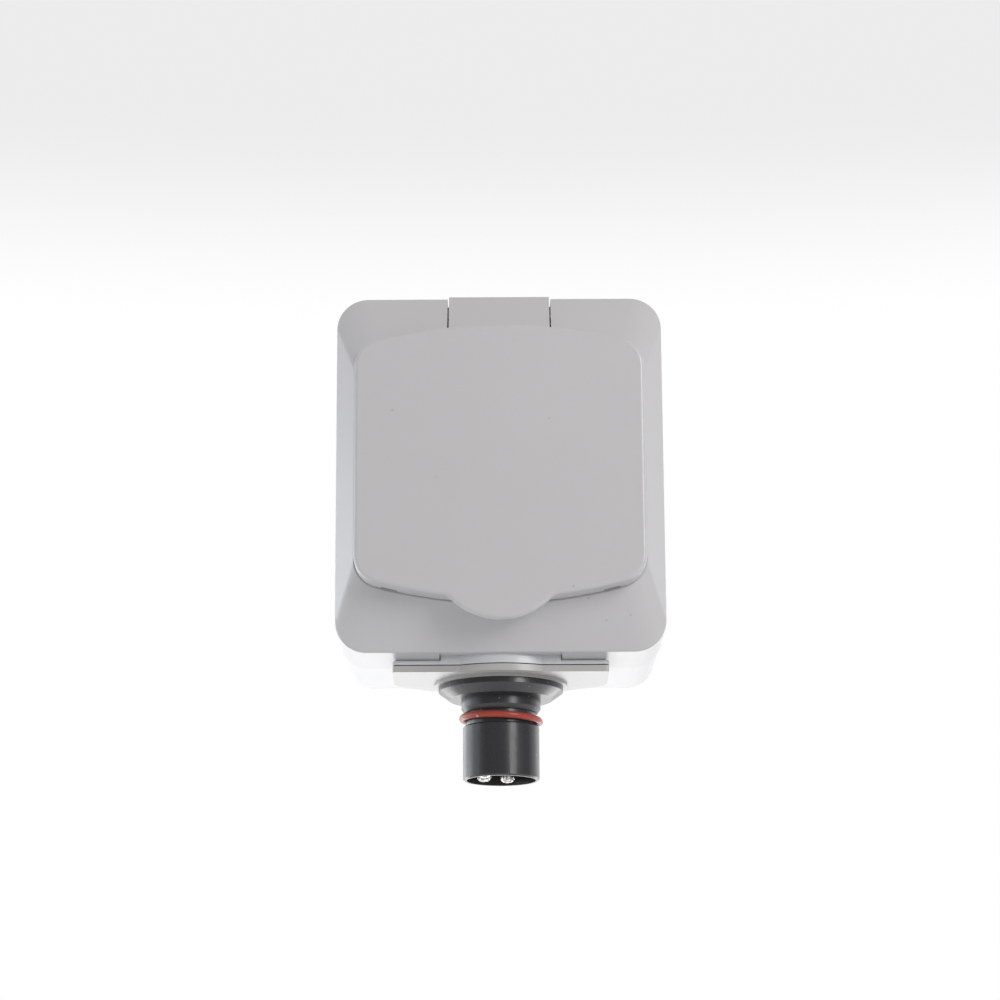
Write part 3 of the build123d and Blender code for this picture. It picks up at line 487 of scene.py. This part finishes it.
class NodeTree:
    """A Geometry Nodes tree with named inputs and a material."""

    def __init__(self, name, **inputs):
        self.tree = bpy.data.node_groups.new(name, "GeometryNodeTree")
        self.tree.interface.new_socket("Geometry", in_out="INPUT", socket_type="NodeSocketGeometry")
        self.keys = {}
        for label, kind in {**inputs, "Material": "Material"}.items():
            socket = self.tree.interface.new_socket(label, in_out="INPUT", socket_type=f"NodeSocket{kind}")
            self.keys[label] = socket.identifier
        self.tree.interface.new_socket("Geometry", in_out="OUTPUT", socket_type="NodeSocketGeometry")
        self.given = self.tree.nodes.new("NodeGroupInput").outputs

    def node(self, kind, settings=None, values=None):
        """Adds a node and gives its first output."""
        return add_node(self.tree, kind, settings, values).outputs[0]

    def circle(self, edges, radius):
        """A circle with a number of edges."""
        return self.node("GeometryNodeCurvePrimitiveCircle", {"mode": "RADIUS"}, {
            "Resolution": edges, "Radius": radius})

    def stand(self, form, turn):
        """Stands a form on each point, turned, gives it the material and ends the tree."""
        placed = self.node("GeometryNodeInstanceOnPoints", values={
            "Points": self.given["Geometry"], "Instance": form, "Rotation": turn})
        real = self.node("GeometryNodeRealizeInstances", values={"Geometry": placed})
        painted = self.node("GeometryNodeSetMaterial", values={
            "Geometry": real, "Material": self.given["Material"]})
        end = self.tree.nodes.new("NodeGroupOutput")
        self.tree.links.new(painted, end.inputs[0])
        return self

    def grow(self, name, points, values, body, slot):
        """Runs the tree on a mesh of points and leaves one plain mesh that rides on a body."""
        seed = bpy.data.meshes.new(name + "_places")
        seed.from_pydata([tuple(point) for point in points], [], [])
        carrier = bpy.data.objects.new(name + "_places", seed)
        bpy.context.scene.collection.objects.link(carrier)
        modifier = carrier.modifiers.new(name, "NODES")
        modifier.node_group = self.tree
        for label, value in values.items():
            modifier[self.keys[label]] = value
        grown = carrier.evaluated_get(bpy.context.evaluated_depsgraph_get())
        shape = bpy.data.meshes.new_from_object(grown)
        carrier.modifiers.remove(modifier)
        bpy.data.objects.remove(carrier)
        return add_piece(name, shape, body)


def add_piece(name, mesh, body):
    """Links a finished mesh as a piece that rides on a body."""
    if not mesh.polygons:
        raise RuntimeError(f"{name} came out empty")
    mesh.name = name
    piece = bpy.data.objects.new(name, mesh)
    bpy.context.scene.collection.objects.link(piece)
    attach(piece, body)
    return piece


def thread_tree():
    """Screw threads: a three-sided ridge along a helix, one from each point towards the front."""
    made = NodeTree("thread", Radius="Float", Depth="Float", Length="Float", Turns="Float", Steps="Int")
    given = made.given
    helix = made.node("GeometryNodeCurveSpiral", values={
        "Resolution": given["Steps"], "Rotations": given["Turns"], "Start Radius": given["Radius"],
        "End Radius": given["Radius"], "Height": given["Length"]})
    ridge = made.node("GeometryNodeCurveToMesh", values={
        "Curve": helix, "Profile Curve": made.circle(RIDGE_EDGES, given["Depth"]), "Fill Caps": True})
    return made.stand(ridge, TO_FRONT)


def mark_tree():
    """Round ejector marks: a low disc at each point, facing the front."""
    made = NodeTree("ejector marks", Radius="Float", Height="Float")
    given = made.given
    disc = made.node("GeometryNodeMeshCone", values={
        "Vertices": MARK_EDGES, "Radius Top": given["Radius"], "Radius Bottom": given["Radius"],
        "Depth": given["Height"]})
    return made.stand(disc, TO_FRONT)


def ring_tree():
    """A ring of round section about the vertical axis, tilted at each point."""
    made = NodeTree("sealing ring", Radius="Float", Section="Float", Tilt="Float")
    given = made.given
    solid = made.node("GeometryNodeCurveToMesh", values={
        "Curve": made.circle(RING_EDGES, given["Radius"]),
        "Profile Curve": made.circle(SECTION_EDGES, given["Section"])})
    smooth = made.node("GeometryNodeSetShadeSmooth", values={"Geometry": solid})
    return made.stand(smooth, made.node("ShaderNodeCombineXYZ", values={"Y": given["Tilt"]}))


class SOCKET_OT_housing(bpy.types.Operator):
    """Dress the base box, the cover and the lid in light grey plastic"""

    bl_idname = "surface_socket.housing"
    bl_label = "Housing and Lid"

    def execute(self, context):
        colours = context.scene.socket_colours
        paint(moulded_plastic("cover_plastic", colours.cover), "front_cover", "plug_well", "hinged_lid")
        paint(moulded_plastic("base_plastic", colours.base), "base_box")
        return {"FINISHED"}


class SOCKET_OT_entry(bpy.types.Operator):
    """Dress the two plates of the cable entry and the gaskets"""

    bl_idname = "surface_socket.entry"
    bl_label = "Cable Entry"

    def execute(self, context):
        colours = context.scene.socket_colours
        paint(moulded_plastic("adapter_plastic", colours.adapter), "entry_adapter")
        paint(moulded_plastic("flange_plastic", colours.flange), "connector_flange")
        paint(rubber("seal_rubber", colours.seal), "joint_gasket", "nut_washer")
        paint(rubber("seal_foam", colours.seal, pore=0.5 * MM), "lid_gasket")
        return {"FINISHED"}


class SOCKET_OT_connector(bpy.types.Operator):
    """Dress the black connector and its contact pins"""

    bl_idname = "surface_socket.connector"
    bl_label = "Connector"

    def execute(self, context):
        black = black_plastic("connector_plastic", context.scene.socket_colours.connector)
        paint(black, "connector_shell", "connector_insert", "lock_nut")
        silver = creased_metal("pin_silver", SILVER)
        paint(silver, "connector_pin_live", "connector_pin_earth", "connector_pin_neutral")
        return {"FINISHED"}


class SOCKET_OT_sealing_ring(bpy.types.Operator):
    """Make the red sealing ring, slightly askew in its groove"""

    bl_idname = "surface_socket.sealing_ring"
    bl_label = "Sealing Ring"

    def execute(self, context):
        sizes = context.scene.socket_sizes
        red = silicone("ring_silicone", context.scene.socket_colours.ring)
        middle = box_centre("sealing_ring")
        reach = box_size("sealing_ring").y / 2
        ring = ring_tree().grow("red_ring", [middle], {
            "Radius": reach - sizes.ring_section, "Section": sizes.ring_section,
            "Tilt": sizes.ring_tilt, "Material": red}, HOUSING, "ring_silicone")
        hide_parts("sealing_ring")
        return {"FINISHED"}


class SOCKET_OT_contacts(bpy.types.Operator):
    """Dress the contact block, the contacts, the wires and the small metal pieces"""

    bl_idname = "surface_socket.contacts"
    bl_label = "Contacts and Wires"

    def execute(self, context):
        colours = context.scene.socket_colours
        paint(moulded_plastic("block_plastic", colours.block, roughness=0.5, mottle=0.05),
              "contact_block", "block_back_plate")
        paint(turned_metal("contact_brass", BRASS), "live_contact", "neutral_contact", "earth_terminal")
        paint(turned_metal("spring_steel", SPRING_STEEL, roughness=0.3), "earth_bow", "lid_spring")
        paint(turned_metal("steel", STEEL, roughness=0.3, lines=(1, 30, 1)),
              "hinge_pin", "cover_screw_1", "cover_screw_2", "block_screw_1", "block_screw_2",
              "live_terminal_screw", "neutral_terminal_screw", "earth_terminal_screw")
        paint(insulation("wire_brown", BROWN), "live_wire")
        paint(insulation("wire_blue", BLUE), "neutral_wire")
        paint(insulation("wire_green", GREEN, stripe=YELLOW), "earth_wire")
        return {"FINISHED"}


class SOCKET_OT_screw_threads(bpy.types.Operator):
    """Cut threads round the shanks of the cover screws and the block screws"""

    bl_idname = "surface_socket.screw_threads"
    bl_label = "Screw Threads"

    def execute(self, context):
        sizes = context.scene.socket_sizes
        tree = thread_tree()
        for pair in ("cover_screw", "block_screw"):
            boxes = [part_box(f"{pair}_{number}") for number in (1, 2)]
            tips = [((low.x + high.x) / 2, high.y, (low.z + high.z) / 2) for low, high in boxes]
            low, high = boxes[0]
            length = high.y - low.y - SCREW_HEAD - 2 * sizes.screw_pitch
            tree.grow(f"{pair}_threads", tips, {
                "Radius": SCREW_RADIUS, "Depth": sizes.screw_depth, "Length": length,
                "Turns": length / sizes.screw_pitch, "Steps": sizes.turn_steps,
                "Material": bpy.data.materials["steel"]}, HOUSING, "steel")
        return {"FINISHED"}


class SOCKET_OT_mould_marks(bpy.types.Operator):
    """Put the mould's round ejector marks inside the lid"""

    bl_idname = "surface_socket.mould_marks"
    bl_label = "Mould Marks"

    def execute(self, context):
        sizes = context.scene.socket_sizes
        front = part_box("hinged_lid")[0].y
        gasket = box_centre("lid_gasket")
        places = []
        for number in range(MARK_COUNT):
            angle = 2 * pi * number / MARK_COUNT
            places.append((gasket.x + MARK_CIRCLE * cos(angle), front + LID_WALL,
                           gasket.z + MARK_CIRCLE * sin(angle)))
        mark_tree().grow("lid_marks", places, {
            "Radius": sizes.mark_radius, "Height": sizes.mark_height,
            "Material": bpy.data.materials["cover_plastic"]}, LID, "cover_plastic")
        return {"FINISHED"}


class SOCKET_OT_stage(bpy.types.Operator):
    """Set up the floor, the pale surroundings, the lamps and the camera"""

    bl_idname = "surface_socket.stage"
    bl_label = "Stage"

    def execute(self, context):
        self.camera(context.scene)
        self.surroundings(context.scene)
        self.floor(context.scene)
        for lamp in LAMPS:
            self.lamp(context.scene, *lamp)
        context.scene.view_settings.view_transform = "Standard"
        return {"FINISHED"}

    def camera(self, scene):
        """Camera at the photograph's place."""
        data = bpy.data.cameras.new("camera")
        data.sensor_width = SENSOR_WIDTH
        data.lens = FOCAL_LENGTH
        data.clip_start = CLIP_START
        data.clip_end = CLIP_END
        camera = bpy.data.objects.new("camera", data)
        scene.collection.objects.link(camera)
        forward = Vector((sin(CAMERA_YAW) * cos(CAMERA_PITCH), cos(CAMERA_YAW) * cos(CAMERA_PITCH),
                          sin(CAMERA_PITCH)))
        level = Vector((cos(CAMERA_YAW), -sin(CAMERA_YAW), 0))
        upright = level.cross(forward)
        right = level * cos(CAMERA_ROLL) + upright * sin(CAMERA_ROLL)
        up = upright * cos(CAMERA_ROLL) - level * sin(CAMERA_ROLL)
        turn = Matrix((right, up, -forward)).transposed().to_4x4()
        camera.matrix_world = Matrix.Translation(CAMERA_PLACE) @ turn
        scene.camera = camera

    def surroundings(self, scene):
        """Pale all round: one level for what is seen, one for reflections, one for soft light."""
        world = bpy.data.worlds.new("surroundings")
        scene.world = world
        finish = Finish(world)
        depth = finish.axis("Y", "Generated")
        height = finish.axis("Z", "Generated")
        seen, mirrored = finish.ray("Is Camera Ray"), finish.ray("Is Glossy Ray")
        level = (seen * height.between(*SEEN_LIGHT) + mirrored * depth.between(*MIRRORED_LIGHT)
                 + (1 - seen - mirrored) * depth.between(*SOFT_LIGHT))
        shown = finish.node("ShaderNodeBackground", values={"Color": rgba(WHITE), "Strength": level})
        finish.node("ShaderNodeOutputWorld", values={"Surface": shown})

    def floor(self, scene):
        """Plain pale floor, well below the object, and white where a surface mirrors it."""
        form = bmesh.new()
        bmesh.ops.create_grid(form, x_segments=1, y_segments=1, size=FLOOR_REACH)
        bmesh.ops.translate(form, verts=form.verts, vec=(0, 0, FLOOR_HEIGHT))
        mesh = bpy.data.meshes.new("floor")
        form.to_mesh(mesh)
        form.free()
        floor = bpy.data.objects.new("floor", mesh)
        scene.collection.objects.link(floor)
        finish = new_finish("floor_paper")
        tone = finish.laid(PAPER_LIGHT, PAPER_DARK, where=finish.noise(scale=3), share=0.05)
        paper = finish.node("ShaderNodeBsdfPrincipled", values={
            "Base Color": tone, "Roughness": PAPER_ROUGHNESS})
        white = finish.node("ShaderNodeEmission", values={
            "Color": rgba(WHITE), "Strength": FLOOR_MIRRORED})
        shown = finish.node("ShaderNodeMixShader", values={
            SHADER_FACTOR: finish.ray("Is Glossy Ray"), SHADER_FIRST: paper, SHADER_SECOND: white})
        finish.node("ShaderNodeOutputMaterial", values={"Surface": shown})
        mesh.materials.append(finish.owner)

    def lamp(self, scene, name, place, size, power, colour):
        """A soft rectangular lamp that points at the object."""
        data = bpy.data.lights.new(name, "AREA")
        data.shape = "RECTANGLE"
        data.size, data.size_y = size
        data.energy = power
        data.color = colour
        lamp = bpy.data.objects.new(name, data)
        scene.collection.objects.link(lamp)
        aim = (CAD_BOX[0] + CAD_BOX[1]) / 2 - Vector(place)
        lamp.location = place
        lamp.rotation_euler = aim.to_track_quat("-Z", "Y").to_euler()
        lamp.visible_camera = False


class SOCKET_PT_panel(bpy.types.Panel):
    """The socket's sizes, colours and steps"""

    bl_label = "Surface Socket"
    bl_idname = "SOCKET_PT_panel"
    bl_space_type = "VIEW_3D"
    bl_region_type = "UI"
    bl_category = "Socket"

    def draw(self, context):
        column = self.layout.column()
        for group in (context.scene.socket_sizes, context.scene.socket_colours):
            for name in group.__annotations__:
                column.prop(group, name)
        for operator in OPERATORS:
            column.operator(operator.bl_idname)


OPERATORS = (
    SOCKET_OT_housing, SOCKET_OT_entry, SOCKET_OT_connector, SOCKET_OT_sealing_ring,
    SOCKET_OT_contacts, SOCKET_OT_screw_threads, SOCKET_OT_mould_marks, SOCKET_OT_stage,
)
CLASSES = (SocketSizes, SocketColours, *OPERATORS, SOCKET_PT_panel)


def register():
    for item in CLASSES:
        bpy.utils.register_class(item)
    bpy.types.Scene.socket_sizes = PointerProperty(type=SocketSizes)
    bpy.types.Scene.socket_colours = PointerProperty(type=SocketColours)


def unregister():
    del bpy.types.Scene.socket_colours
    del bpy.types.Scene.socket_sizes
    for item in reversed(CLASSES):
        bpy.utils.unregister_class(item)


def main():
    """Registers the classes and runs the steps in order."""
    register()
    for operator in OPERATORS:
        category, name = operator.bl_idname.split(".")
        getattr(getattr(bpy.ops, category), name)()


if __name__ == "__main__":
    main()
